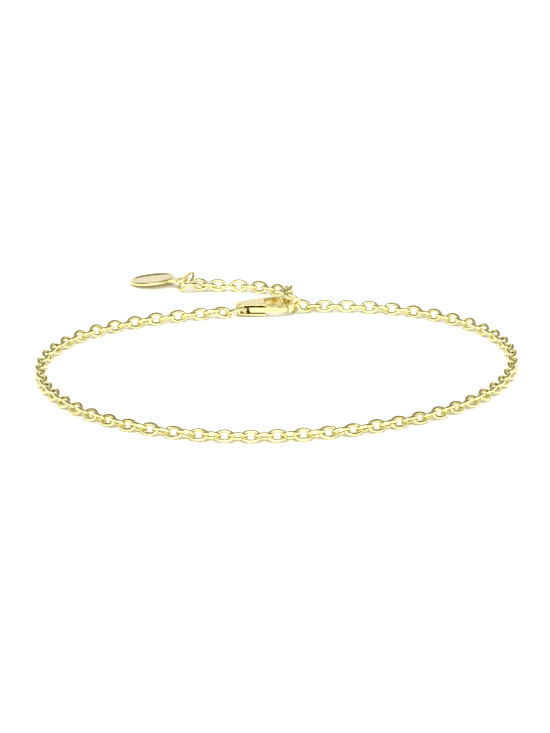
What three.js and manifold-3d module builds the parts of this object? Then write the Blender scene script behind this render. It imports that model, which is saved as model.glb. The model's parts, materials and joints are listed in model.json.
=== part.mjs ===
// A fine cable-chain bracelet with a lobster clasp, lying in a loose loop on a flat surface.
// Millimetres, +Z up. The loop is laid out round the middle of the wrist opening; the whole
// bracelet is then moved so that the origin is the bottom centre of its bounding box.

import * as THREE from "three";
import { mergeVertices } from "three/addons/utils/BufferGeometryUtils.js";
import Module from "manifold-3d";

const wasm = await Module();
wasm.setup();

// ---------------------------------------------------------------- driving dimensions

// One oval link of the cable chain. Every second link rolls the other way, 45 degrees each.
const link = { width: 1.65, wire: 0.43, roll: Math.PI / 4 };

// The loop's mean radius, and how far out of round it lies: for each wave, how many times it
// repeats in a turn and its cosine and sine heights. It is open at the back for the clasp.
const loop = {
  radius: 27,
  waves: [
    { perTurn: 2, cos: 0.93, sin: 1.58 },
    { perTurn: 3, cos: -0.28, sin: 0.56 },
    { perTurn: 4, cos: -0.21, sin: -0.26 },
  ],
  rightEndX: 3.2,
  leftEndX: -7.4,
  steps: 60,
};

// The extender chain's route: over the clasp's hook, down to the surface and away to the tag ring.
const extenderRoute = [
  { x: 1.2, y: 26.0, z: 2.72 },
  { x: 1.25, y: 27.3, z: 2.62 },
  { x: 1.3, y: 28.5, z: 2.0 },
  { x: 1.3, y: 29.5, z: 1.2 },
  { x: 1.25, y: 30.5, z: 0.76 },
  { x: 1.1, y: 31.6, z: 0.69 },
  { x: 0.6, y: 32.6, z: 0.69 },
  { x: -0.3, y: 33.5, z: 0.69 },
  { x: -1.4, y: 34.3, z: 0.69 },
  { x: -2.6, y: 34.9, z: 0.69 },
  { x: -3.9, y: 35.3, z: 0.69 },
  { x: -5.3, y: 35.5, z: 0.69 },
  { x: -6.7, y: 35.6, z: 0.69 },
  { x: -8.0, y: 35.6, z: 0.7 },
  { x: -9.2, y: 35.55, z: 0.76 },
  { x: -10.45, y: 35.35, z: 0.98 },
];
const extenderSteps = 16;

// The three jump rings are alike: a mean radius, a wire, and a place and facing for each.
const jumpRing = { radius: 1.3, wire: 0.4, aroundRing: 28, aroundWire: 10 };
const ringPlaces = [
  { name: "tail_ring", x: -5.46, y: 24.17, z: 0.71, facing: { x: -0.32, y: 0.2, z: 0.93 } },
  { name: "hook_ring", x: 1.35, y: 25.45, z: 1.35, facing: { x: 0.24, y: 0.85, z: 0.47 } },
  { name: "tag_ring", x: -11.89, y: 36.02, z: 1.21, facing: { x: -0.72, y: -0.24, z: 0.65 } },
];

// The clasp in its own frame: tail at x = 0, hook towards +x, lever on the -y side, lying flat.
// The slot holds the lever; behind it a window runs through to the back for the tail ring.
// Top and underside are level over the cheeks and slope in towards the tail and the hook.
const clasp = {
  place: { x: -5.5, y: 24.1, turn: THREE.MathUtils.degToRad(15) },
  thickness: 1.85,
  tail: { x: 0.85, y: 0, r: 0.85 },
  hook: { x: 5.75, y: 0, r: 2.05 },
  opening: { back: { x: 4.35, y: 0.35, r: 0.55 }, front: { x: 5.75, y: 0, r: 1.3 } },
  cheekEnd: { x: 3.6, y: -0.35 },
  mouthBackY: 0.15,
  tip: { innerX: 6.75, innerY: -0.8, outerX: 6.35, outerY: -2.2 },
  slot: { bottom: 0.42, top: 1.46, depth: 0.25, windowStart: 0.5, windowEnd: 1.56 },
  slopes: {
    underHook: { from: 5.0, to: 7.8, by: 0.7 },
    hookTop: { from: 3.6, to: 7.8, by: 0.45 },
    underTail: { from: 1.8, to: 0, by: 0.3 },
    tailTop: { from: 1.8, to: 0, by: 0.3 },
  },
  pivot: { x: 2.5, y: -0.75, pin: 0.2, pinEnds: 0.1 },
};

// The lever, in the clasp's frame. Its outer edge lies just inside the clasp's front edge and runs
// on by the belly to the nose; a running gap stays between its end and the hook's tip.
const lever = {
  bottom: 0.56,
  thickness: 0.66,
  bore: 0.32,
  hub: { r: 0.62, start: Math.PI * 0.25, end: Math.PI * 0.7 },
  gap: 0.14,
  inset: 0.04,
  back: { x: 1.68, y: -0.45 },
  belly: { x: 5.25, y: -1.97 },
  nose: { x: 6.1, y: -1.93 },
  noseRound: 0.12,
  gate: { width: 0.74, middleX: 4.85, middleY: -1.13, neckX: 3.85, neckWidth: 0.85 },
};

// The round tag, its rim and its ear. It leans on its far edge with the ear lifted by the ring.
const tag = {
  radius: 2.95,
  thickness: 0.45,
  rim: 0.42,
  recess: 0.12,
  ear: { reach: 4.5, r: 0.95, neck: 0.76, hole: 0.6, thickness: 0.36 },
  earAt: { x: -12.4, y: 37.15 },
  heading: THREE.MathUtils.degToRad(-28),
  lean: THREE.MathUtils.degToRad(7),
};

const gold = { color: 0xe8d687, roughness: 0.16, metalness: 1 };

// ---------------------------------------------------------------- helpers

// A closed three.js geometry as a solid that can be joined and cut.
function solidOf(geometry) {
  const bare = geometry.clone();
  bare.deleteAttribute("normal");
  bare.deleteAttribute("uv");
  const merged = mergeVertices(bare, 1e-4);
  return new wasm.Manifold(
    new wasm.Mesh({
      numProp: 3,
      vertProperties: Float32Array.from(merged.attributes.position.array),
      triVerts: Uint32Array.from(merged.index.array),
    }),
  );
}

function geometryOf(solid) {
  const mesh = solid.getMesh();
  const geometry = new THREE.BufferGeometry();
  geometry.setAttribute("position", new THREE.BufferAttribute(mesh.vertProperties, 3));
  geometry.setIndex(new THREE.BufferAttribute(mesh.triVerts, 1));
  geometry.computeVertexNormals();
  return geometry;
}

// An outline in the x-y plane, raised from one height to another.
function raised(outline, bottom, top, curveSegments = 20) {
  const settings = { depth: top - bottom, bevelEnabled: false, curveSegments };
  return new THREE.ExtrudeGeometry(outline, settings).translate(0, 0, bottom);
}

function polygon(points) {
  return new THREE.Shape(points.map(([x, y]) => new THREE.Vector2(x, y)));
}

// What lies beyond a slope that starts on a level face and goes in by a given depth. The face looks
// up where sign is 1 and down where it is -1.
function beyondSlope({ from, to, by }, level, sign, halfWidth) {
  const past = Math.sign(to - from);
  const tilt = by / (to - from);
  const section = polygon([
    [from, 0],
    [to + past, -sign * tilt * (to + past - from)],
    [to + past, sign * halfWidth],
    [from, sign * halfWidth],
  ]);
  const settings = { depth: 2 * halfWidth, bevelEnabled: false };
  const block = new THREE.ExtrudeGeometry(section, settings).translate(0, 0, -halfWidth);
  return solidOf(block.rotateX(Math.PI / 2).translate(0, 0, level));
}

function disc(x, y, r) {
  return new THREE.Shape().absarc(x, y, r, 0, 2 * Math.PI, false);
}

// The outline of a band drawn tight round two circles, the second one the larger.
function teardrop(small, large) {
  const heading = Math.atan2(large.y - small.y, large.x - small.x);
  const apart = Math.hypot(large.x - small.x, large.y - small.y);
  const spread = Math.acos((small.r - large.r) / apart);
  return new THREE.Shape()
    .absarc(large.x, large.y, large.r, heading - spread, heading + spread, false)
    .absarc(small.x, small.y, small.r, heading + spread, heading + 2 * Math.PI - spread, false);
}

function named(name, geometry) {
  const mesh = new THREE.Mesh(geometry, new THREE.MeshStandardMaterial(gold));
  mesh.name = name;
  return mesh;
}

// ---------------------------------------------------------------- chains

// How tall and wide the chain lies, with its links rolled to one side and the other.
const chainHeight = (link.width - link.wire) * Math.sin(link.roll) + link.wire;

// The eight-sided section that holds the links, with a flat underneath.
function chainSection() {
  const sides = 8;
  const cornerRadius = chainHeight / 2 / Math.cos(Math.PI / sides);
  const corners = Array.from({ length: sides }, (_, i) => {
    const angle = ((i + 0.5) * 2 * Math.PI) / sides;
    return new THREE.Vector2(cornerRadius * Math.cos(angle), cornerRadius * Math.sin(angle));
  });
  return new THREE.Shape(corners);
}

function loopRadius(angle) {
  const height = ({ perTurn, cos, sin }) => {
    const turned = perTurn * angle;
    return cos * Math.cos(turned) + sin * Math.sin(turned);
  };
  return loop.waves.reduce((radius, wave) => radius + height(wave), loop.radius);
}

// The angle at which the loop passes a given x at the back.
function backAngle(x) {
  let angle = Math.PI / 2;
  for (let i = 0; i < 20; i += 1) {
    angle = Math.acos(x / loopRadius(angle));
  }
  return angle;
}

// The loop from the hook ring clockwise round the front to the tail ring.
class LoopCurve extends THREE.Curve {
  getPoint(t, target = new THREE.Vector3()) {
    const start = backAngle(loop.rightEndX);
    const end = backAngle(loop.leftEndX) - 2 * Math.PI;
    const angle = start + (end - start) * t;
    const radius = loopRadius(angle);
    return target.set(radius * Math.cos(angle), radius * Math.sin(angle), chainHeight / 2);
  }
}

function chainTube(name, curve, steps) {
  return named(name, new THREE.ExtrudeGeometry(chainSection(), { steps, extrudePath: curve }));
}

function extenderChain() {
  const points = extenderRoute.map(({ x, y, z }) => new THREE.Vector3(x, y, z));
  return chainTube("extender_chain", new THREE.CatmullRomCurve3(points), extenderSteps);
}

// ---------------------------------------------------------------- jump rings

function ring({ name, x, y, z, facing }) {
  const { radius, wire, aroundRing, aroundWire } = jumpRing;
  const mesh = named(name, new THREE.TorusGeometry(radius, wire / 2, aroundWire, aroundRing));
  const axis = new THREE.Vector3(facing.x, facing.y, facing.z).normalize();
  mesh.quaternion.setFromUnitVectors(new THREE.Vector3(0, 0, 1), axis);
  mesh.position.set(x, y, z);
  return mesh;
}

// ---------------------------------------------------------------- clasp

// The y of the teardrop's straight front edge at a given x.
function frontEdge(x) {
  const { tail, hook } = clasp;
  const slope = Math.asin((hook.r - tail.r) / (hook.x - tail.x));
  return -(tail.r / Math.cos(slope) + (x - tail.x) * Math.tan(slope));
}

// The x of the hook's tip, cut at a slant, at a given y.
function tipX(y) {
  const { innerX, innerY, outerX, outerY } = clasp.tip;
  return outerX + ((y - outerY) * (innerX - outerX)) / (innerY - outerY);
}

function claspBody() {
  const { thickness, tail, hook, opening, cheekEnd, mouthBackY, tip, slot, slopes, pivot } = clasp;
  const past = 1;
  const frontY = -hook.r - past;
  const through = [-past, thickness + past];
  const blank = solidOf(raised(teardrop(tail, hook), 0, thickness, 24));
  const hole = solidOf(raised(teardrop(opening.back, opening.front), ...through, 16));

  const mouth = solidOf(raised(polygon([
    [cheekEnd.x, frontY],
    [tipX(frontY), frontY],
    [tip.innerX, tip.innerY],
    [opening.front.x, opening.front.y],
    [opening.back.x, mouthBackY],
    [cheekEnd.x, cheekEnd.y],
  ]), ...through));

  const slotEnd = cheekEnd.x + past / 2;
  const leverSlot = solidOf(raised(polygon([
    [slot.windowStart, frontY],
    [slotEnd, frontY],
    [slotEnd, slot.depth],
    [slot.windowEnd, slot.depth],
    [slot.windowEnd, -frontY],
    [slot.windowStart, -frontY],
  ]), slot.bottom, slot.top));

  const halfWidth = hook.r + past;
  const sloped = [
    beyondSlope(slopes.hookTop, thickness, 1, halfWidth),
    beyondSlope(slopes.tailTop, thickness, 1, halfWidth),
    beyondSlope(slopes.underHook, 0, -1, halfWidth),
    beyondSlope(slopes.underTail, 0, -1, halfWidth),
  ];

  const pinOutline = disc(pivot.x, pivot.y, pivot.pin);
  const pin = solidOf(raised(pinOutline, slot.bottom - pivot.pinEnds, slot.top + pivot.pinEnds, 8));
  const cuts = [hole, mouth, leverSlot, ...sloped];
  const cheeks = cuts.reduce((solid, cut) => solid.subtract(cut), blank);
  return named("clasp_body", geometryOf(cheeks.add(pin)));
}

function claspLever() {
  const { cheekEnd, pivot } = clasp;
  const { bottom, thickness, bore, hub, gap, inset, back, belly, nose, noseRound, gate } = lever;
  const outer = (x) => frontEdge(x) + inset;
  const noseY = nose.y + noseRound;
  const gateY = belly.y + gate.width;
  const outline = new THREE.Shape();
  outline.moveTo(back.x, outer(back.x));
  outline.lineTo(cheekEnd.x, outer(cheekEnd.x));
  outline.lineTo(belly.x, belly.y);
  outline.lineTo(nose.x, nose.y);
  outline.lineTo(tipX(noseY) - gap, noseY);
  outline.lineTo(tipX(gateY) - gap, gateY);
  outline.lineTo(gate.middleX, gate.middleY);
  outline.lineTo(gate.neckX, outer(cheekEnd.x) + gate.neckWidth);
  outline.absarc(pivot.x, pivot.y, hub.r, hub.start, hub.end, false);
  outline.lineTo(back.x, back.y);
  outline.holes.push(disc(pivot.x, pivot.y, bore));
  return named("clasp_lever", raised(outline, bottom, bottom + thickness, 10));
}

function claspGroup() {
  const group = new THREE.Group();
  group.add(claspBody(), claspLever());
  group.position.set(clasp.place.x, clasp.place.y, 0);
  group.rotation.z = clasp.place.turn;
  return group;
}

// ---------------------------------------------------------------- tag

// The tag lies with its far edge on the surface at the group's origin and its ear towards +x.
function endTag() {
  const { radius, thickness, rim, recess, ear } = tag;
  const profile = [
    [0, 0],
    [radius, 0],
    [radius, thickness],
    [radius - rim, thickness],
    [radius - rim - recess, thickness - recess],
    [0, thickness - recess],
  ].map(([r, h]) => new THREE.Vector2(r, h));
  const plate = solidOf(new THREE.LatheGeometry(profile, 48).rotateX(Math.PI / 2));
  const lug = solidOf(raised(disc(ear.reach, 0, ear.r), 0, ear.thickness, 12));
  const neckStart = radius - rim / 2;
  const neck = solidOf(raised(polygon([
    [neckStart, -ear.neck],
    [ear.reach, -ear.neck],
    [ear.reach, ear.neck],
    [neckStart, ear.neck],
  ]), 0, ear.thickness));
  const eye = solidOf(raised(disc(ear.reach, 0, ear.hole), -thickness, 2 * thickness, 12));
  const mesh = named("end_tag", geometryOf(plate.add(neck).add(lug).subtract(eye)));
  mesh.position.x = radius;
  return mesh;
}

function tagGroup() {
  const leaning = new THREE.Group();
  leaning.add(endTag());
  leaning.rotation.y = -tag.lean;
  const group = new THREE.Group();
  group.add(leaning);
  const reach = (tag.radius + tag.ear.reach) * Math.cos(tag.lean);
  group.position.x = tag.earAt.x - reach * Math.cos(tag.heading);
  group.position.y = tag.earAt.y - reach * Math.sin(tag.heading);
  group.rotation.z = tag.heading;
  return group;
}

// ---------------------------------------------------------------- assembly

const group = new THREE.Group();
group.add(chainTube("main_chain", new LoopCurve(), loop.steps));
group.add(extenderChain());
group.add(claspGroup());
group.add(tagGroup());
ringPlaces.forEach((place) => group.add(ring(place)));

group.updateMatrixWorld(true);
const centre = new THREE.Box3().setFromObject(group, true).getCenter(new THREE.Vector3());
group.position.set(-centre.x, -centre.y, 0);

export default group;
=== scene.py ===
"""Looks for a fine gold cable-chain bracelet: its links, jump rings, cast clasp and round tag.

Shapes are worked out in millimetres in the loop's own layout, which is centred on the wrist
opening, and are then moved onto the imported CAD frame, in metres.
"""

import json
import math

import bpy
import numpy as np
from mathutils import Matrix, Vector


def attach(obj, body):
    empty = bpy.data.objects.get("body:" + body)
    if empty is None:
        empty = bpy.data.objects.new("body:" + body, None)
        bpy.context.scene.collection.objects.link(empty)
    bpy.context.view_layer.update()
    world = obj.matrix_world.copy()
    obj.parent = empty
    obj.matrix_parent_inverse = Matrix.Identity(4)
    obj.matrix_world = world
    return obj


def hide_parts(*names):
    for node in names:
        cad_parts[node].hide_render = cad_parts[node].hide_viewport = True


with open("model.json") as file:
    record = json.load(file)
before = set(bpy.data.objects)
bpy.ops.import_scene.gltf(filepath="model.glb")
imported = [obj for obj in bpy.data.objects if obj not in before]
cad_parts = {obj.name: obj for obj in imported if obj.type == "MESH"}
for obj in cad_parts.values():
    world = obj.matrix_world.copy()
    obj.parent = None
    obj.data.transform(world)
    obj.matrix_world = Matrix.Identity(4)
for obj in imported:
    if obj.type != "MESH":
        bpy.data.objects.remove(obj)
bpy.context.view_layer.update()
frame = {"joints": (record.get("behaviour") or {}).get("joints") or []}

# ---------------------------------------------------------------- driving dimensions, mm

MM = 0.001
UP = np.array([0.0, 0.0, 1.0])

# The steps of links and rings are round the whole piece, then round its wire.
LINK = {
    "length": 2.35,
    "width": 1.65,
    "wire": 0.43,
    "squareness": 2.05,
    "roll": math.radians(45),
    "roll_jitter": math.radians(3),
    "joint_swell": 0.05,
    "joint_spread": 0.12,
    "steps": (52, 16),
}
# At the back of the loop the links lean over towards the front by as much as this.
BACK_LEAN = math.radians(15)
CHAIN_HEIGHT = (LINK["width"] - LINK["wire"]) * math.sin(LINK["roll"]) + LINK["wire"]

# The loop's mean radius and its out-of-round waves: times per turn, cosine and sine heights.
LOOP_RADIUS = 27.0
LOOP_WAVES = ((2, 0.93, 1.58), (3, -0.28, 0.56), (4, -0.21, -0.26))
LOOP_POINTS = 20001
LOOP_LINKS = 111
# The chain starts at the back, right of the hook ring, and ends there, left of the tail ring.
LOOP_RIGHT_X, LOOP_LEFT_X = 3.15, -7.0
# Links by number, and how far each lies back along the loop from where even spacing puts it.
LOOP_SLACK = (
    (0, 3, 13, 45, 85, 110),
    (0.1, 0.5, 0.58, 0.28, 0.53, 0.0),
)

# The extender's links run from the top of the hook ring to the side of the tag ring.
EXTENDER_ROUTE = (
    (1.2, 26.0, 2.72),
    (1.25, 27.3, 2.62),
    (1.3, 28.5, 2.0),
    (1.3, 29.5, 1.2),
    (1.25, 30.5, 0.76),
    (1.1, 31.6, 0.69),
    (0.6, 32.6, 0.69),
    (-0.3, 33.5, 0.69),
    (-1.4, 34.3, 0.69),
    (-2.6, 34.9, 0.69),
    (-3.9, 35.3, 0.69),
    (-5.3, 35.5, 0.69),
    (-6.7, 35.6, 0.69),
    (-8.0, 35.6, 0.7),
    (-9.2, 35.55, 0.76),
    (-10.45, 35.35, 0.98),
)

# From the hook, seven links at the first pitch and six at the second; the rest take what is left.
EXTENDER = {
    "links": 17,
    "pitches": ((7, 1.3), (6, 1.36)),
    "top": 3.36,
    "ring_angle": 350,
    "facing_roll": math.radians(22),
    "flat_roll": math.radians(-61),
    "roll_jitter": math.radians(7),
    "hanging_links": 5,
    "hanging_outward": (1.0, 0.3, 0.0),
}

# Where the chains' end links lie, to thread their rings: number, middle, direction along, and roll
# in degrees.
END_LINKS = {
    "chain_links": (
        (0, (3.115, 25.447, 0.936), (0.89, 0.276, -0.364), 45.1),
        (1, (4.378, 25.913, 0.651), (0.954, 0.299, -0.027), -55.5),
        (2, (5.688, 25.972, 0.751), (1.0, 0.006, 0.016), 29.4),
        (108, (-9.79, 22.44, 0.694), (0.944, 0.325, 0.057), 39.4),
        (109, (-8.375, 22.885, 0.769), (0.959, 0.277, 0.059), -48.1),
        (110, (-6.98, 23.33, 0.659), (0.948, 0.235, -0.216), 48.0),
    ),
    "extender_links": (
        (0, (1.072, 25.324, 2.527), (0.077, 0.975, 0.211), -46.9),
        (1, (1.228, 26.672, 2.566), (0.05, 0.996, -0.076), 32.8),
        (2, (1.243, 27.899, 2.309), (0.072, 0.904, -0.421), -52.2),
        (14, (-9.013, 35.566, 0.741), (-0.994, -0.072, 0.086), -58.5),
        (15, (-10.159, 35.449, 0.926), (-0.956, -0.233, 0.178), 14.3),
        (16, (-11.227, 35.033, 1.076), (-0.887, -0.443, 0.131), -73.2),
    ),
}

JUMP_RING = {"radius": 1.3, "wire": 0.4, "cut": 0.03, "steps": (120, 24)}
RINGS = {
    "tail_ring": {"at": (-5.46, 24.17, 0.71), "facing": (-0.32, 0.2, 0.93), "cut_at": 250},
    "hook_ring": {"at": (1.35, 25.45, 1.35), "facing": (0.24, 0.85, 0.47), "cut_at": 40},
    "tag_ring": {"at": (-11.89, 36.02, 1.21), "facing": (-0.72, -0.24, 0.65), "cut_at": 60},
}

# The clasp in its own frame: tail at x = 0, hook towards +x, lever on the -y side, lying flat.
CLASP = {
    "place": (-5.5, 24.1),
    "turn": math.radians(15),
    "thickness": 1.85,
    "tail": (0.85, 0.0, 0.85),
    "hook": (5.75, 0.0, 2.05),
    "opening_back": (4.35, 0.35, 0.55),
    "opening_front": (5.75, 0.0, 1.3),
    "cheek_end": (3.6, -0.35),
    "mouth_back_y": 0.15,
    "tip_inner": (6.75, -0.8),
    "tip_outer": (6.35, -2.2),
    "slot": {"bottom": 0.42, "top": 1.46, "depth": 0.25, "window": (0.5, 1.56), "past_cheeks": 0.5},
    "under_hook": {"from": 5.0, "to": 7.8, "by": 0.7},
    "hook_top": {"from": 3.6, "to": 7.8, "by": 0.45},
    "under_tail": {"from": 1.8, "to": 0.0, "by": 0.3},
    "tail_top": {"from": 1.8, "to": 0.0, "by": 0.3},
    "pivot": (2.5, -0.75),
    "pin": 0.2,
    "pin_in_cheek": 0.1,
    "edge_round": 0.1,
    "tail_round": 0.8,
    "tail_end": 0.55,
    "opening_round": 0.28,
}
# The lever's hub follows an arc between two angles in degrees, in so many points.
LEVER = {
    "bottom": 0.56,
    "thickness": 0.66,
    "bore": 0.32,
    "hub": 0.62,
    "hub_arc": (45, 126, 12),
    "gap": 0.14,
    "inset": 0.04,
    "back": (1.68, -0.45),
    "belly": (5.25, -1.97),
    "nose": (6.1, -1.93),
    "nose_round": 0.12,
    "gate_width": 0.74,
    "gate_middle": (4.85, -1.13),
    "neck": (3.85, 0.85),
}
TAG = {
    "radius": 2.95,
    "thickness": 0.45,
    "rim": 0.42,
    "recess": 0.12,
    "lower_bevel": 0.1,
    "upper_bevel": 0.12,
    "inner_bevel": (0.1, 0.06),
    "steps": 160,
    "ear_reach": 4.5,
    "ear": 0.95,
    "ear_hole": 0.6,
    "ear_thickness": 0.36,
    "ear_neck": 0.76,
    "ear_at": (-12.4, 37.15),
    "heading": math.radians(-28),
    "lean": math.radians(7),
}

# How far a cutting solid reaches past what it cuts, and the points round each end of a teardrop.
CUT_PAST = 1.0
TEARDROP_STEPS = 40

# ---------------------------------------------------------------- looks

# Base colours, from the warmer to the paler end of each metal's range.
PALE_GOLD = ((0.89, 0.82, 0.42, 1), (0.91, 0.86, 0.51, 1))
WARM_GOLD = ((0.91, 0.79, 0.37, 1), (0.93, 0.84, 0.47, 1))
# Painted shade: a dark gold for the walls inside the clasp's slot.
SHADED_GOLD = ((0.2, 0.13, 0.03, 1), (0.32, 0.22, 0.06, 1))

# Noise scales per metre, from broad patches of tone to fine hairlines.
NOISE = {"tone": 900, "ripple": 1500, "dull": 2600, "hairlines": 9000}
NOISE_STOPS = (0.3, 0.7)
DULL_SPREAD = (0.75, 1.3)

# The studio's light by the sine of its elevation: bright low down, dark above, paler overhead.
SKY = (
    (0.0, (0.9, 0.9, 0.89, 1)),
    (0.4, (1.0, 0.97, 0.9, 1)),
    (0.52, (0.21, 0.19, 0.11, 1)),
    (0.8, (0.22, 0.2, 0.12, 1)),
    (1.0, (0.6, 0.58, 0.48, 1)),
)
CAMERA = {"elevation": math.radians(16.75), "distance": 378.0, "lens": 157.8, "aim_x": -0.48}
EXPOSURE = -0.06

rng = np.random.default_rng(7)


# ---------------------------------------------------------------- placing on the CAD frame


def clasp_to_layout():
    """The clasp's own frame in the loop's layout."""
    x, y = CLASP["place"]
    return Matrix.Translation((x, y, 0)) @ Matrix.Rotation(CLASP["turn"], 4, "Z")


def layout_shift():
    """How far the layout is moved to the row frame, found from the lever's hinge."""
    hinge = next(j for j in frame["joints"] if j["name"] == "lever_hinge")
    pivot = clasp_to_layout() @ Vector((*CLASP["pivot"], 0))
    x, y, _ = hinge["pos_m"]
    return Matrix.Translation((x / MM - pivot.x, y / MM - pivot.y, 0))


TO_ROW = Matrix.Scale(MM, 4) @ layout_shift()


# ---------------------------------------------------------------- mesh helpers


def mesh_object(name, points, faces):
    mesh = bpy.data.meshes.new(name)
    mesh.from_pydata([tuple(p) for p in points], [], [tuple(f) for f in faces])
    mesh.validate()
    obj = bpy.data.objects.new(name, mesh)
    bpy.context.scene.collection.objects.link(obj)
    return obj


def smooth(obj):
    obj.data.polygons.foreach_set("use_smooth", [True] * len(obj.data.polygons))
    obj.data.update()


def apply_modifiers(obj):
    evaluated = obj.evaluated_get(bpy.context.evaluated_depsgraph_get())
    baked = bpy.data.meshes.new_from_object(evaluated)
    obj.modifiers.clear()
    obj.data = baked


def grid_faces(rows, columns):
    """Quads over a grid of points that closes on itself both ways."""
    r, c = np.meshgrid(np.arange(rows), np.arange(columns), indexing="ij")
    r_next, c_next = (r + 1) % rows, (c + 1) % columns
    corners = [
        r * columns + c,
        r_next * columns + c,
        r_next * columns + c_next,
        r * columns + c_next,
    ]
    return np.stack([k.ravel() for k in corners], -1)


def stacked(outlines, mirror=None):
    """A solid from closed outlines, one above another, all with as many points.

    Its ends are single faces, or strips across from point k to point mirror - k.
    """
    levels, around = len(outlines), len(outlines[0])
    points = np.concatenate(outlines)
    faces = []
    for level in range(levels - 1):
        low, high = level * around, (level + 1) * around
        for k in range(around):
            after = (k + 1) % around
            faces.append((low + k, low + after, high + after, high + k))
    last = (levels - 1) * around
    if mirror is None:
        faces.append(tuple(reversed(range(around))))
        faces.append(tuple(range(last, last + around)))
        return points, faces
    first = (mirror + 1) // 2
    for k in range(first, first + around // 2 - 1):
        strip = (k, k + 1, (mirror - k - 1) % around, (mirror - k) % around)
        faces.append(tuple(last + i for i in strip))
        faces.append(tuple(reversed(strip)))
    return points, faces


def prism(name, outline, bottom, top):
    """An outline in the x-y plane, raised from one height to another."""
    flat = np.asarray(outline, float)
    levels = [np.column_stack([flat, np.full(len(flat), z)]) for z in (bottom, top)]
    return mesh_object(name, *stacked(levels))


def circle(x, y, r, steps=48):
    angle = np.linspace(0, 2 * math.pi, steps, endpoint=False)
    return np.column_stack([x + r * np.cos(angle), y + r * np.sin(angle)])


def combine(obj, other, operation):
    """Cuts or joins another solid, which is then thrown away."""
    modifier = obj.modifiers.new("boolean", "BOOLEAN")
    modifier.operation = operation
    modifier.object = other
    modifier.solver = "EXACT"
    apply_modifiers(obj)
    bpy.data.objects.remove(other)


def cast(obj, voxel, rounds):
    """Gives a sharp solid the soft edges of a casting."""
    remesh = obj.modifiers.new("remesh", "REMESH")
    remesh.mode = "VOXEL"
    remesh.voxel_size = voxel
    soften = obj.modifiers.new("soften", "SMOOTH")
    soften.factor = 0.5
    soften.iterations = rounds
    apply_modifiers(obj)
    smooth(obj)


def finish_piece(obj, placement, body, slot, node, *materials):
    """Moves a piece from millimetres in its own layout onto its CAD body."""
    obj.data.transform(TO_ROW @ placement)
    for material in materials:
        obj.data.materials.append(material)
    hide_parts(node)
    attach(obj, body)


# ---------------------------------------------------------------- materials


def gold(name, ripple, grain, roughness, tones=PALE_GOLD):
    """Yellow-gold plating: slight ripple, fine hairlines, and warmer and duller places."""
    material = bpy.data.materials.new(name)
    material.use_nodes = True
    tree = material.node_tree
    nodes, links = tree.nodes, tree.links
    shader = nodes["Principled BSDF"]
    shader.inputs["Metallic"].default_value = 1.0
    where = nodes.new("ShaderNodeTexCoord")

    def noise(scale, detail, stretch=(1, 1, 1)):
        mapping = nodes.new("ShaderNodeMapping")
        mapping.inputs["Scale"].default_value = stretch
        links.new(where.outputs["Object"], mapping.inputs["Vector"])
        texture = nodes.new("ShaderNodeTexNoise")
        texture.inputs["Scale"].default_value = scale
        texture.inputs["Detail"].default_value = detail
        links.new(mapping.outputs["Vector"], texture.inputs["Vector"])
        return texture.outputs["Fac"]

    def relief(height, distance):
        node = nodes.new("ShaderNodeBump")
        node.inputs["Strength"].default_value = 1.0
        node.inputs["Distance"].default_value = distance
        links.new(height, node.inputs["Height"])
        return node

    tone = nodes.new("ShaderNodeValToRGB")
    for stop, position, colour in zip(tone.color_ramp.elements, NOISE_STOPS, tones):
        stop.position, stop.color = position, colour
    links.new(noise(NOISE["tone"], 2), tone.inputs["Fac"])
    links.new(tone.outputs["Color"], shader.inputs["Base Color"])

    dull = nodes.new("ShaderNodeMapRange")
    dull.inputs["From Min"].default_value, dull.inputs["From Max"].default_value = NOISE_STOPS
    dull.inputs["To Min"].default_value = roughness * DULL_SPREAD[0]
    dull.inputs["To Max"].default_value = roughness * DULL_SPREAD[1]
    links.new(noise(NOISE["dull"], 3), dull.inputs["Value"])
    links.new(dull.outputs["Result"], shader.inputs["Roughness"])

    waves = relief(noise(NOISE["ripple"], 1), ripple)
    hairlines = relief(noise(NOISE["hairlines"], 2, (1, 0.15, 0.5)), grain)
    links.new(waves.outputs["Normal"], hairlines.inputs["Normal"])
    links.new(hairlines.outputs["Normal"], shader.inputs["Normal"])
    return material


chain_gold = gold("gold_chain", 6e-6, 4e-7, 0.13)
ring_gold = gold("gold_rings", 6e-6, 4e-7, 0.12)
clasp_gold = gold("gold_clasp", 1.2e-5, 6e-7, 0.13, WARM_GOLD)
tag_gold = gold("gold_tag", 1.2e-5, 6e-7, 0.13, WARM_GOLD)
# Painted shade for the clasp's slot walls: the same gold, made dark and rough.
painted_slot_shade_gold = gold("gold_painted_slot_shade", 1.2e-5, 2e-6, 0.45, SHADED_GOLD)


# ---------------------------------------------------------------- chains


def link_template():
    """One link's points as distances along the chain, across the link and out of its plane."""
    around, section = LINK["steps"]
    angle = np.linspace(0, 2 * math.pi, around, endpoint=False)
    power = 2 / LINK["squareness"]

    def squared_off(wave):
        return np.sign(wave) * np.abs(wave) ** power

    along = (LINK["length"] - LINK["wire"]) / 2 * squared_off(np.cos(angle))
    across = (LINK["width"] - LINK["wire"]) / 2 * squared_off(np.sin(angle))
    path = np.column_stack([along, across, np.zeros(around)])
    tangent = np.roll(path, -1, 0) - np.roll(path, 1, 0)
    tangent /= np.linalg.norm(tangent, axis=1)[:, None]
    outward = np.cross(tangent, UP)
    turn = np.linspace(0, 2 * math.pi, section, endpoint=False)
    spokes = outward[:, None, :] * np.cos(turn)[None, :, None] + UP * np.sin(turn)[None, :, None]
    # The solder joint is a faint swelling on one long side.
    from_joint = (angle - math.pi / 2) / LINK["joint_spread"]
    joint = 1 + LINK["joint_swell"] * np.exp(-(from_joint**2))
    points = path[:, None, :] + spokes * (LINK["wire"] / 2) * joint[:, None, None]
    return points.reshape(-1, 3), grid_faces(around, section)


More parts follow.
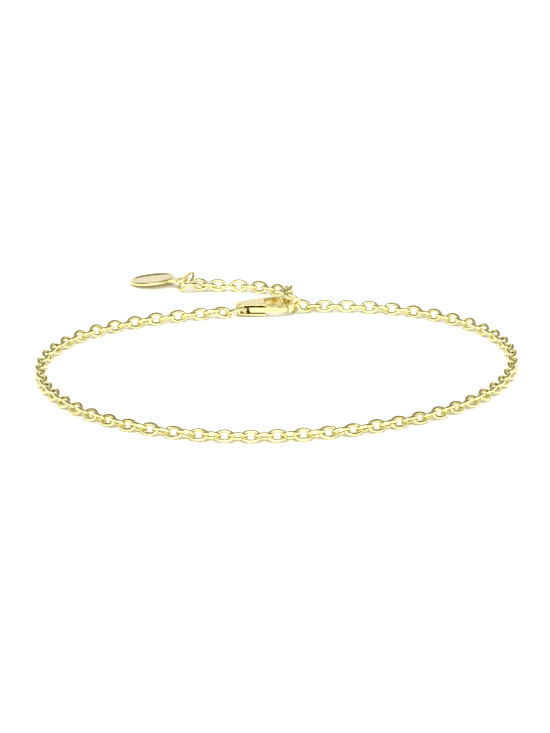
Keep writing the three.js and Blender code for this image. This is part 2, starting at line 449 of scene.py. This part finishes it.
def along_route(points, distances, either_side=0.3):
    """Places at distances along a line, and directions from a little either side of them."""
    steps = np.linalg.norm(np.diff(points, axis=0), axis=1)
    reached = np.concatenate([[0], np.cumsum(steps)])
    at = [np.interp(distances, reached, points[:, k]) for k in range(3)]
    ahead = [np.interp(distances + either_side, reached, points[:, k]) for k in range(3)]
    behind = [np.interp(distances - either_side, reached, points[:, k]) for k in range(3)]
    direction = np.stack(ahead, -1) - np.stack(behind, -1)
    return np.stack(at, -1), direction / np.linalg.norm(direction, axis=1)[:, None]


def route_length(points):
    return float(np.linalg.norm(np.diff(points, axis=0), axis=1).sum())


def rest_height(roll):
    """The height of a link's middle when the link lies on the surface, rolled from upright."""
    return (LINK["width"] - LINK["wire"]) / 2 * np.abs(np.cos(roll)) + LINK["wire"] / 2


def chain(name, centres, directions, outwards, rolls):
    """Every link of a chain as one mesh."""
    for k, middle, along, roll in END_LINKS[name]:
        centres[k], directions[k] = middle, np.array(along) / np.linalg.norm(along)
        rolls[k] = math.radians(roll)
    template, faces = link_template()
    all_points, all_faces = [], []
    for k, (centre, along, outward, roll) in enumerate(zip(centres, directions, outwards, rolls)):
        level = outward - outward.dot(along) * along
        level /= np.linalg.norm(level)
        rise = np.cross(level, along)
        # It points up, except where the chain hangs and it is level.
        if rise[2] < -1e-3:
            rise = -rise
        across = math.cos(roll) * rise + math.sin(roll) * level
        normal = np.cross(along, across)
        all_points.append(centre + template @ np.stack([along, across, normal]))
        all_faces.append(faces + k * len(template))
    obj = mesh_object(name, np.concatenate(all_points), np.concatenate(all_faces))
    smooth(obj)
    return obj


def alternating_rolls(count):
    """Every second link rolled the other way, none of them quite evenly."""
    signs = (-1.0) ** np.arange(count)
    return signs * LINK["roll"] + rng.normal(0, LINK["roll_jitter"], count)


def loop_line():
    """The loop from the back, clockwise once round."""
    angle = np.linspace(math.pi / 2, -1.5 * math.pi, LOOP_POINTS)
    radius = LOOP_RADIUS + sum(
        cos * np.cos(times * angle) + sin * np.sin(times * angle) for times, cos, sin in LOOP_WAVES
    )
    height = np.full_like(angle, CHAIN_HEIGHT / 2)
    return np.stack([radius * np.cos(angle), radius * np.sin(angle), height], -1)


def main_chain():
    """The chain round the wrist, from the hook ring at the right to the tail ring at the left."""
    line = loop_line()
    half = len(line) // 2
    start = int(np.argmax(line[:, 0] >= LOOP_RIGHT_X))
    end = half + int(np.nonzero(line[half:, 0] <= LOOP_LEFT_X)[0][-1])
    line = line[start:end]
    slack = np.interp(np.arange(LOOP_LINKS), *LOOP_SLACK)
    first_step = line[1] - line[0]
    lead_in = line[0] - first_step / np.linalg.norm(first_step) * slack[0]
    distances = np.linspace(0, route_length(line), LOOP_LINKS) + slack[0] - slack
    centres, directions = along_route(np.concatenate([[lead_in], line]), distances)
    outwards = centres * [1, 1, 0]
    outwards /= np.linalg.norm(outwards, axis=1)[:, None]
    rolls = alternating_rolls(LOOP_LINKS) - BACK_LEAN * np.clip(outwards[:, 1], 0, 1)
    centres[:, 2] = np.maximum(rest_height(rolls), CHAIN_HEIGHT / 2)
    return chain("chain_links", centres, directions, outwards, rolls)


def catmull_rom(points, steps=40):
    """A smooth line through points."""
    p = np.asarray(points, float)
    p = np.concatenate([[2 * p[0] - p[1]], p, [2 * p[-1] - p[-2]]])
    t = np.linspace(0, 1, steps, endpoint=False)[:, None]
    spans = [
        0.5
        * (
            2 * b
            + (c - a) * t
            + (2 * a - 5 * b + 4 * c - d) * t**2
            + (3 * b - a - 3 * c + d) * t**3
        )
        for a, b, c, d in zip(p, p[1:], p[2:], p[3:])
    ]
    return np.concatenate([*spans, p[-2:-1]])


def ring_axes(facing):
    """A ring's facing and the two directions in its plane, the second as upright as it can be."""
    facing = np.array(facing) / np.linalg.norm(facing)
    upright = UP - UP.dot(facing) * facing
    upright /= np.linalg.norm(upright)
    return facing, np.cross(upright, facing), upright


def extender_chain():
    """The free chain, hanging from the hook ring and then lying towards the tag ring."""
    hook, tag = RINGS["hook_ring"], RINGS["tag_ring"]
    top = np.array(hook["at"]) + JUMP_RING["radius"] * ring_axes(hook["facing"])[2]
    hold = math.radians(EXTENDER["ring_angle"])
    _, sideways, upright = ring_axes(tag["facing"])
    held_side = math.cos(hold) * sideways + math.sin(hold) * upright
    low = np.array(tag["at"]) + JUMP_RING["radius"] * held_side
    line = catmull_rom([top, *EXTENDER_ROUTE, low])
    length = route_length(line)
    reach = (LINK["length"] - LINK["wire"]) / 2 - (LINK["wire"] + JUMP_RING["wire"]) / 2
    count = EXTENDER["links"]
    knots, reached = [0], [reach]
    for links, pitch in EXTENDER["pitches"]:
        knots.append(knots[-1] + links)
        reached.append(reached[-1] + links * pitch)
    order = np.arange(count)
    distances = np.interp(order, [*knots, count - 1], [*reached, length - reach])
    centres, directions = along_route(line, distances)
    outwards = np.tile([0.0, 1.0, 0.0], (count, 1))
    outwards[: EXTENDER["hanging_links"]] = EXTENDER["hanging_outward"]
    rolls = np.where(order % 2, EXTENDER["facing_roll"], EXTENDER["flat_roll"])
    rolls = rolls + rng.normal(0, EXTENDER["roll_jitter"], count)
    half_height = rest_height(rolls)
    centres[:, 2] = np.clip(centres[:, 2], half_height, EXTENDER["top"] - half_height)
    return chain("extender_links", centres, directions, outwards, rolls)


# ---------------------------------------------------------------- jump rings


def jump_ring(name):
    """A round wire bent to a ring, with the fine cut where its ends meet."""
    around, section = JUMP_RING["steps"]
    place = RINGS[name]
    facing, sideways, upright = ring_axes(place["facing"])
    half_cut = JUMP_RING["cut"] / 2 / JUMP_RING["radius"]
    start = math.radians(place["cut_at"])
    angle = np.linspace(start + half_cut, start + 2 * math.pi - half_cut, around)
    spoke = np.cos(angle)[:, None] * sideways + np.sin(angle)[:, None] * upright
    turn = np.linspace(0, 2 * math.pi, section, endpoint=False)
    wire = JUMP_RING["wire"] / 2
    outlines = [
        np.array(place["at"])
        + s * JUMP_RING["radius"]
        + wire * (np.cos(turn)[:, None] * s + np.sin(turn)[:, None] * facing)
        for s in spoke
    ]
    obj = mesh_object(name + "_wire", *stacked(outlines))
    smooth(obj)
    return obj


# ---------------------------------------------------------------- clasp


def teardrop(small, large, grow):
    """A band drawn tight round two circles, the second one the larger, as a closed outline."""
    (sx, sy, sr), (lx, ly, lr) = small, large
    heading = math.atan2(ly - sy, lx - sx)
    spread = math.acos((sr - lr) / math.hypot(lx - sx, ly - sy))
    front = np.linspace(heading - spread, heading + spread, TEARDROP_STEPS)
    back = np.linspace(heading + spread, heading + 2 * math.pi - spread, TEARDROP_STEPS)
    arcs = [
        np.column_stack([x + (r + grow) * np.cos(a), y + (r + grow) * np.sin(a)])
        for x, y, r, a in ((lx, ly, lr, front), (sx, sy, sr, back))
    ]
    return np.concatenate(arcs)


def rounded_levels(height, radius, steps=8):
    """Heights up a solid with rounded edges, and how far each level is drawn in."""
    turn = np.linspace(0, math.pi / 2, steps)
    low = [(radius * (1 - math.cos(t)), radius * (1 - math.sin(t))) for t in turn]
    high = [(height - z, inset) for z, inset in reversed(low)]
    return low + high


def slope(face, x):
    """How far a face of the clasp has gone in at x."""
    face = CLASP[face]
    return face["by"] * np.clip((x - face["from"]) / (face["to"] - face["from"]), 0, 1)


def clasp_heights(x, z):
    """Heights once the faces slope in towards both ends and the tail's end is rounded."""
    share = z / CLASP["thickness"]
    fall = slope("hook_top", x) + slope("tail_top", x)
    rise = slope("under_hook", x) + slope("under_tail", x)
    sloped = z - fall * share + rise * (1 - share)
    from_end = np.clip(x / CLASP["tail_round"], 0, 1)
    drawn_in = CLASP["tail_end"] + (1 - CLASP["tail_end"]) * np.sqrt(1 - (1 - from_end) ** 2)
    middle = CLASP["thickness"] / 2
    return middle + (sloped - middle) * drawn_in


def front_edge(x):
    """The y of the clasp's straight front edge."""
    (tx, _, tr), (hx, _, hr) = CLASP["tail"], CLASP["hook"]
    flare = math.asin((hr - tr) / (hx - tx))
    return -(tr / math.cos(flare) + (x - tx) * math.tan(flare))


def tip_x(y):
    """The x of the hook's slanting tip."""
    (ix, iy), (ox, oy) = CLASP["tip_inner"], CLASP["tip_outer"]
    return ox + (y - oy) * (ix - ox) / (iy - oy)


def mark_slot_walls(body):
    """Gives the slot's walls the piece's second material, a dark gold that is painted shade."""
    slot = CLASP["slot"]
    # Behind the rounded front edge, and a little past the slot's own faces elsewhere.
    edge, depth, height = 0.12, 0.05, 0.03
    centres = np.empty(3 * len(body.data.polygons))
    body.data.polygons.foreach_get("center", centres)
    x, y, z = centres.reshape(-1, 3).T
    across = (y > front_edge(x) + edge) & (y < slot["depth"] + depth)
    along = (x > slot["window"][1]) & (x < CLASP["cheek_end"][0] + slot["past_cheeks"])
    inside = across & along & (z > slot["bottom"] - height) & (z < slot["top"] + height)
    body.data.polygons.foreach_set("material_index", inside.astype(int).tolist())


def clasp_body():
    """The clasp without its lever: a tapering band, then its opening, mouth, slot and pin."""
    thickness, slot = CLASP["thickness"], CLASP["slot"]
    front_y = -CLASP["hook"][2] - CUT_PAST
    levels = []
    for z, inset in rounded_levels(thickness, CLASP["edge_round"]):
        outline = teardrop(CLASP["tail"], CLASP["hook"], -inset)
        heights = clasp_heights(outline[:, 0], np.full(len(outline), z))
        levels.append(np.column_stack([outline, heights]))
    body = mesh_object("clasp_cast", *stacked(levels, mirror=TEARDROP_STEPS - 1))

    opening = []
    back, front = CLASP["opening_back"], CLASP["opening_front"]
    rounding = CLASP["opening_round"]
    walls = rounded_levels(thickness, rounding)
    walls = [(-CUT_PAST, rounding)] + walls + [(thickness + CUT_PAST, rounding)]
    for z, inset in walls:
        outline = teardrop(back, front, inset)
        opening.append(np.column_stack([outline, np.full(len(outline), z)]))
    combine(body, mesh_object("hole", *stacked(opening)), "DIFFERENCE")

    end_x, end_y = CLASP["cheek_end"]
    mouth = [
        (end_x, front_y),
        (tip_x(front_y), front_y),
        CLASP["tip_inner"],
        front[:2],
        (back[0], CLASP["mouth_back_y"]),
        (end_x, end_y),
    ]
    combine(body, prism("mouth", mouth, -CUT_PAST, thickness + CUT_PAST), "DIFFERENCE")

    window_start, window_end = slot["window"]
    slot_end = end_x + slot["past_cheeks"]
    lever_slot = [
        (window_start, front_y),
        (slot_end, front_y),
        (slot_end, slot["depth"]),
        (window_end, slot["depth"]),
        (window_end, -front_y),
        (window_start, -front_y),
    ]
    combine(body, prism("slot", lever_slot, slot["bottom"], slot["top"]), "DIFFERENCE")
    pin_bottom = slot["bottom"] - CLASP["pin_in_cheek"]
    pin_top = slot["top"] + CLASP["pin_in_cheek"]
    combine(body, prism("pin", circle(*CLASP["pivot"], CLASP["pin"]), pin_bottom, pin_top), "UNION")
    cast(body, voxel=0.04, rounds=12)
    mark_slot_walls(body)
    return body


def clasp_lever():
    """The lever: an arm from its hub in the slot to the gate that meets the hook's tip."""
    belly, nose, pivot = LEVER["belly"], LEVER["nose"], CLASP["pivot"]
    end_x = CLASP["cheek_end"][0]
    nose_y = nose[1] + LEVER["nose_round"]
    gate_y = belly[1] + LEVER["gate_width"]
    turn = np.radians(np.linspace(*LEVER["hub_arc"]))
    hub = np.array(pivot) + LEVER["hub"] * np.column_stack([np.cos(turn), np.sin(turn)])
    outline = [
        (LEVER["back"][0], front_edge(LEVER["back"][0]) + LEVER["inset"]),
        (end_x, front_edge(end_x) + LEVER["inset"]),
        belly,
        nose,
        (tip_x(nose_y) - LEVER["gap"], nose_y),
        (tip_x(gate_y) - LEVER["gap"], gate_y),
        LEVER["gate_middle"],
        (LEVER["neck"][0], front_edge(end_x) + LEVER["inset"] + LEVER["neck"][1]),
        *hub,
        LEVER["back"],
    ]
    bottom, top = LEVER["bottom"], LEVER["bottom"] + LEVER["thickness"]
    obj = prism("lever_cast", outline, bottom, top)
    bore = prism("bore", circle(*pivot, LEVER["bore"]), bottom - CUT_PAST, top + CUT_PAST)
    combine(obj, bore, "DIFFERENCE")
    cast(obj, voxel=0.03, rounds=12)
    return obj


# ---------------------------------------------------------------- tag


def end_tag():
    """A disc with a raised rim round a plain recess, and an ear with an eye for the tag ring."""
    radius, thickness, steps = TAG["radius"], TAG["thickness"], TAG["steps"]
    low, high, (inner, inner_drop) = TAG["lower_bevel"], TAG["upper_bevel"], TAG["inner_bevel"]
    rim, plate, near_middle = TAG["rim"], thickness - TAG["recess"], 0.01
    profile = [
        (radius - low, 0.0),
        (radius, low),
        (radius, thickness - high),
        (radius - high, thickness),
        (radius - rim + inner, thickness),
        (radius - rim, thickness - inner_drop),
        (radius - rim - TAG["recess"], plate),
        (near_middle, plate),
    ]
    levels = [np.column_stack([circle(0, 0, r, steps), np.full(steps, z)]) for r, z in profile]
    obj = mesh_object("tag_cast", *stacked(levels))
    ear = TAG["ear_thickness"]
    lug = prism("lug", circle(TAG["ear_reach"], 0, TAG["ear"]), 0, ear)
    combine(obj, lug, "UNION")
    neck_start = radius - rim / 2
    neck = TAG["ear_neck"]
    outline = [
        (neck_start, -neck),
        (TAG["ear_reach"], -neck),
        (TAG["ear_reach"], neck),
        (neck_start, neck),
    ]
    combine(obj, prism("neck", outline, 0, ear), "UNION")
    eye = prism("eye", circle(TAG["ear_reach"], 0, TAG["ear_hole"]), -CUT_PAST, CUT_PAST)
    combine(obj, eye, "DIFFERENCE")
    cast(obj, voxel=0.04, rounds=5)
    return obj


def tag_to_layout():
    """The tag leans on its far edge, with its ear over the tag ring's wire."""
    reach = (TAG["radius"] + TAG["ear_reach"]) * math.cos(TAG["lean"])
    x = TAG["ear_at"][0] - reach * math.cos(TAG["heading"])
    y = TAG["ear_at"][1] - reach * math.sin(TAG["heading"])
    return (
        Matrix.Translation((x, y, 0))
        @ Matrix.Rotation(TAG["heading"], 4, "Z")
        @ Matrix.Rotation(-TAG["lean"], 4, "Y")
        @ Matrix.Translation((TAG["radius"], 0, 0))
    )


# ---------------------------------------------------------------- the bracelet

AS_LAID = Matrix.Identity(4)
finish_piece(main_chain(), AS_LAID, "bracelet", "chain", "main_chain", chain_gold)
finish_piece(extender_chain(), AS_LAID, "bracelet", "chain", "extender_chain", chain_gold)
for ring_name in RINGS:
    finish_piece(jump_ring(ring_name), AS_LAID, "bracelet", "rings", ring_name, ring_gold)
# The clasp body's second material is painted shade on the walls of its slot.
finish_piece(
    clasp_body(), clasp_to_layout(), "bracelet", "clasp", "clasp_body", clasp_gold, painted_slot_shade_gold
)
finish_piece(clasp_lever(), clasp_to_layout(), "lever", "clasp", "clasp_lever", clasp_gold)
finish_piece(end_tag(), tag_to_layout(), "bracelet", "tag", "end_tag", tag_gold)


# ---------------------------------------------------------------- stage, light and camera


def floor():
    half = 6.0
    corners = [(-half, -half, 0), (half, -half, 0), (half, half, 0), (-half, half, 0)]
    obj = mesh_object("floor", corners, [(0, 1, 2, 3)])
    material = bpy.data.materials.new("white_paper")
    material.use_nodes = True
    shader = material.node_tree.nodes["Principled BSDF"]
    shader.inputs["Base Color"].default_value = (0.93, 0.93, 0.925, 1)
    shader.inputs["Roughness"].default_value = 0.9
    obj.data.materials.append(material)


def surroundings():
    """A plain studio, whose light changes only with its height above the horizon."""
    world = bpy.data.worlds.new("studio")
    bpy.context.scene.world = world
    world.use_nodes = True
    nodes, links = world.node_tree.nodes, world.node_tree.links
    background = nodes["Background"]
    where = nodes.new("ShaderNodeTexCoord")
    parts = nodes.new("ShaderNodeSeparateXYZ")
    links.new(where.outputs["Generated"], parts.inputs["Vector"])
    ramp = nodes.new("ShaderNodeValToRGB")
    stops = ramp.color_ramp.elements
    for stop, (position, colour) in zip(stops, (SKY[0], SKY[-1])):
        stop.position, stop.color = position, colour
    for position, colour in SKY[1:-1]:
        stops.new(position).color = colour
    links.new(parts.outputs["Z"], ramp.inputs["Fac"])
    links.new(ramp.outputs["Color"], background.inputs["Color"])
    background.inputs["Strength"].default_value = 1.0


def softbox(name, at, size, watts, mirrored=True):
    """A rectangular lamp aimed at the bracelet, seen or not seen mirrored in the metal."""
    lamp = bpy.data.lights.new(name, "AREA")
    lamp.shape = "RECTANGLE"
    lamp.size, lamp.size_y = size
    lamp.energy = watts
    obj = bpy.data.objects.new(name, lamp)
    obj.location = at
    obj.rotation_euler = (-Vector(at)).to_track_quat("-Z", "Y").to_euler()
    obj.visible_glossy = mirrored
    bpy.context.scene.collection.objects.link(obj)


def camera():
    distance, elevation = CAMERA["distance"], CAMERA["elevation"]
    middle = Vector((0, 0, CHAIN_HEIGHT / 2))
    eye = middle + distance * Vector((0, -math.cos(elevation), math.sin(elevation)))
    aim = middle + Vector((CAMERA["aim_x"], 0, 0))
    data = bpy.data.cameras.new("camera")
    data.lens = CAMERA["lens"]
    data.clip_start, data.clip_end = 0.01, 50
    obj = bpy.data.objects.new("camera", data)
    obj.location = TO_ROW @ eye
    obj.rotation_euler = (aim - eye).to_track_quat("-Z", "Y").to_euler()
    bpy.context.scene.collection.objects.link(obj)
    bpy.context.scene.camera = obj


floor()
surroundings()
softbox("front", (0.0, -0.75, 0.42), (1.0, 0.3), 3.7)
softbox("overhead", (0.0, -0.1, 0.9), (1.2, 1.2), 12, mirrored=False)
camera()
bpy.context.scene.view_settings.view_transform = "Standard"
bpy.context.scene.view_settings.exposure = EXPOSURE
